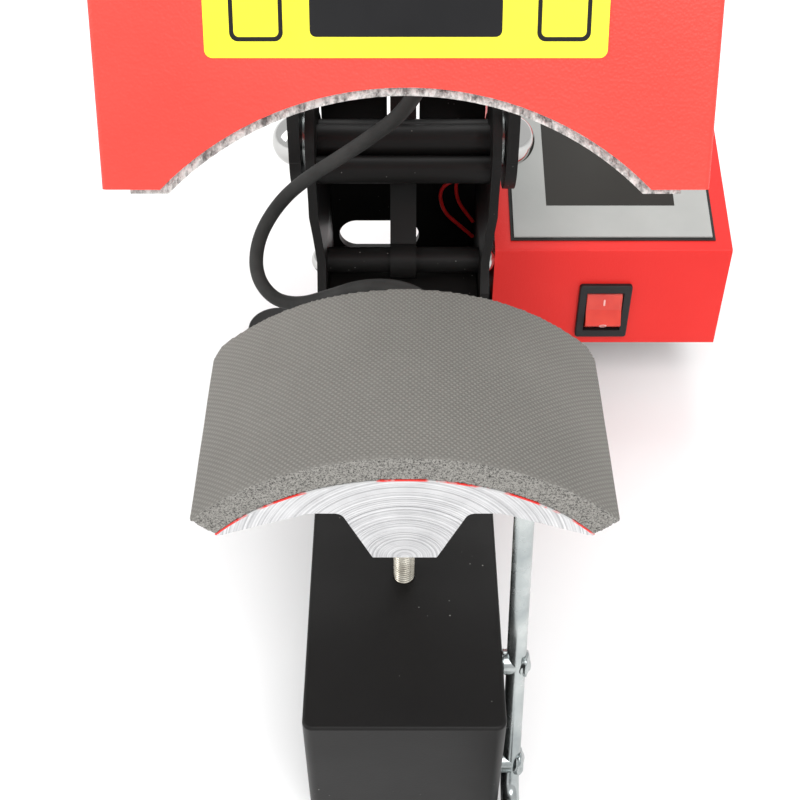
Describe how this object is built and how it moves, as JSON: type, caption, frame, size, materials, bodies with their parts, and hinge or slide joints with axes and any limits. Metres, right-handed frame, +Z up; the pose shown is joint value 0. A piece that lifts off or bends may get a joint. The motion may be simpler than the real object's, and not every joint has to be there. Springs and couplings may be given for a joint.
{
  "type": "clamshell cap heat press",
  "caption": "Clamshell heat press for caps: curved heated head in a red cover, curved padded platen on a black beam, toggle handle and control box.",
  "frame": {"origin": "on the supporting surface, under the front face of the padded platen, on the base beam's centreline", "axes": "+X to the right, +Y to the rear, +Z up"},
  "size_m": [0.236, 0.4252, 0.3868],
  "materials": {
    "black_powder_coat": "satin",
    "red_powder_coat": "satin",
    "zinc_plated": "satin",
    "polished_chrome": "gloss",
    "aluminium": "satin",
    "silicone_foam": "matte",
    "red_adhesive": "gloss",
    "black_rubber": "matte",
    "grey_panel": "satin",
    "dark_window": "gloss",
    "red_translucent": "gloss",
    "black_plastic": "satin",
    "circuit_board": "satin",
    "insulation": "matte",
    "yellow_label": "satin",
    "red_wire": "gloss"
  },
  "bodies": {
    "base": {"base_beam": "black_powder_coat", "beam_gland": "black_plastic", "bottom_plate": "black_powder_coat", "box_spacers": "black_powder_coat", "box_tray": "zinc_plated", "circuit_board": "circuit_board", "control_box": "red_powder_coat", "display_gasket": "black_rubber", "display_panel": "grey_panel", "display_window": "dark_window", "foam_pad": "silicone_foam", "foot_screws": "zinc_plated", "heater_cable": "black_rubber", "knuckle_bolts": "polished_chrome", "knuckle_tube": "black_powder_coat", "limit_switch": "black_plastic", "lower_platen": "aluminium", "mains_inlet": "black_plastic", "pad_adhesive": "red_adhesive", "pivot_bolts": "polished_chrome", "pivot_sleeve": "black_powder_coat", "pivot_washers": "zinc_plated", "platen_stud": "zinc_plated", "rear_foot_bar": "black_powder_coat", "rear_plate": "black_powder_coat", "rubber_feet": "black_rubber", "spacer_tubes": "black_powder_coat", "stud_nuts": "zinc_plated", "switch_bezel": "black_plastic", "switch_lead_1": "red_wire", "switch_lead_2": "red_wire", "upright_left": "black_powder_coat", "upright_right": "black_powder_coat"},
    "press_head": {"arm_left": "black_powder_coat", "arm_right": "black_powder_coat", "arm_tie_tube": "black_powder_coat", "bridge_plate": "black_powder_coat", "upper_cover": "red_powder_coat", "cover_screws": "zinc_plated", "heating_platen": "aluminium", "heater_insulation": "insulation", "pressure_plate": "zinc_plated", "head_studs": "zinc_plated", "label_plate": "yellow_label", "head_gland": "black_plastic", "lever_pin": "zinc_plated"},
    "toggle_handle": {"lever_left": "black_powder_coat", "lever_right": "black_powder_coat", "knee_pin": "zinc_plated", "handle_tube": "black_powder_coat", "handle_grip": "black_rubber"},
    "toggle_link": {"toggle_link": "black_powder_coat"},
    "pressure_adjuster": {"pressure_knob": "black_plastic", "pressure_screw": "zinc_plated"},
    "cap_hold_down": {"hold_down_bar": "zinc_plated", "hold_down_grip": "black_rubber"},
    "power_rocker": {"rocker": "red_translucent"}
  },
  "joints": [
    {"name": "head_hinge", "type": "hinge", "parent": "base", "child": "press_head", "pos_m": [0, 0.224, 0.142], "axis": [1, 0, 0], "range_deg": [0, 26.1], "deforming": ["heater_cable"]},
    {"name": "handle_hinge", "type": "hinge", "parent": "press_head", "child": "toggle_handle", "pos_m": [0, 0.33122, 0.15629], "axis": [1, 0, 0], "range_deg": [0, 17.97]},
    {"name": "link_hinge", "type": "hinge", "parent": "base", "child": "toggle_link", "pos_m": [0, 0.211, 0.085], "axis": [1, 0, 0], "range_deg": [0, 5.2]},
    {"name": "pressure_screw_turn", "type": "hinge", "parent": "press_head", "child": "pressure_adjuster", "pos_m": [0, 0.13905, 0.35956], "axis": [0, 0.4399, 0.898], "range_deg": [-360, 360]},
    {"name": "hold_down_swing", "type": "hinge", "parent": "base", "child": "cap_hold_down", "pos_m": [0.04, 0.003, 0.071], "axis": [1, 0, 0], "range_deg": [-8, 4]},
    {"name": "rocker_tilt", "type": "hinge", "parent": "base", "child": "power_rocker", "pos_m": [0.097, 0.21548, 0.05316], "axis": [1, 0, 0], "range_deg": [0, 18]}
  ],
  "couplings": [
    {"joint": "handle_hinge", "follows": "head_hinge", "ratio": 0.68821},
    {"joint": "link_hinge", "follows": "head_hinge", "ratio": 0.19884}
  ]
}
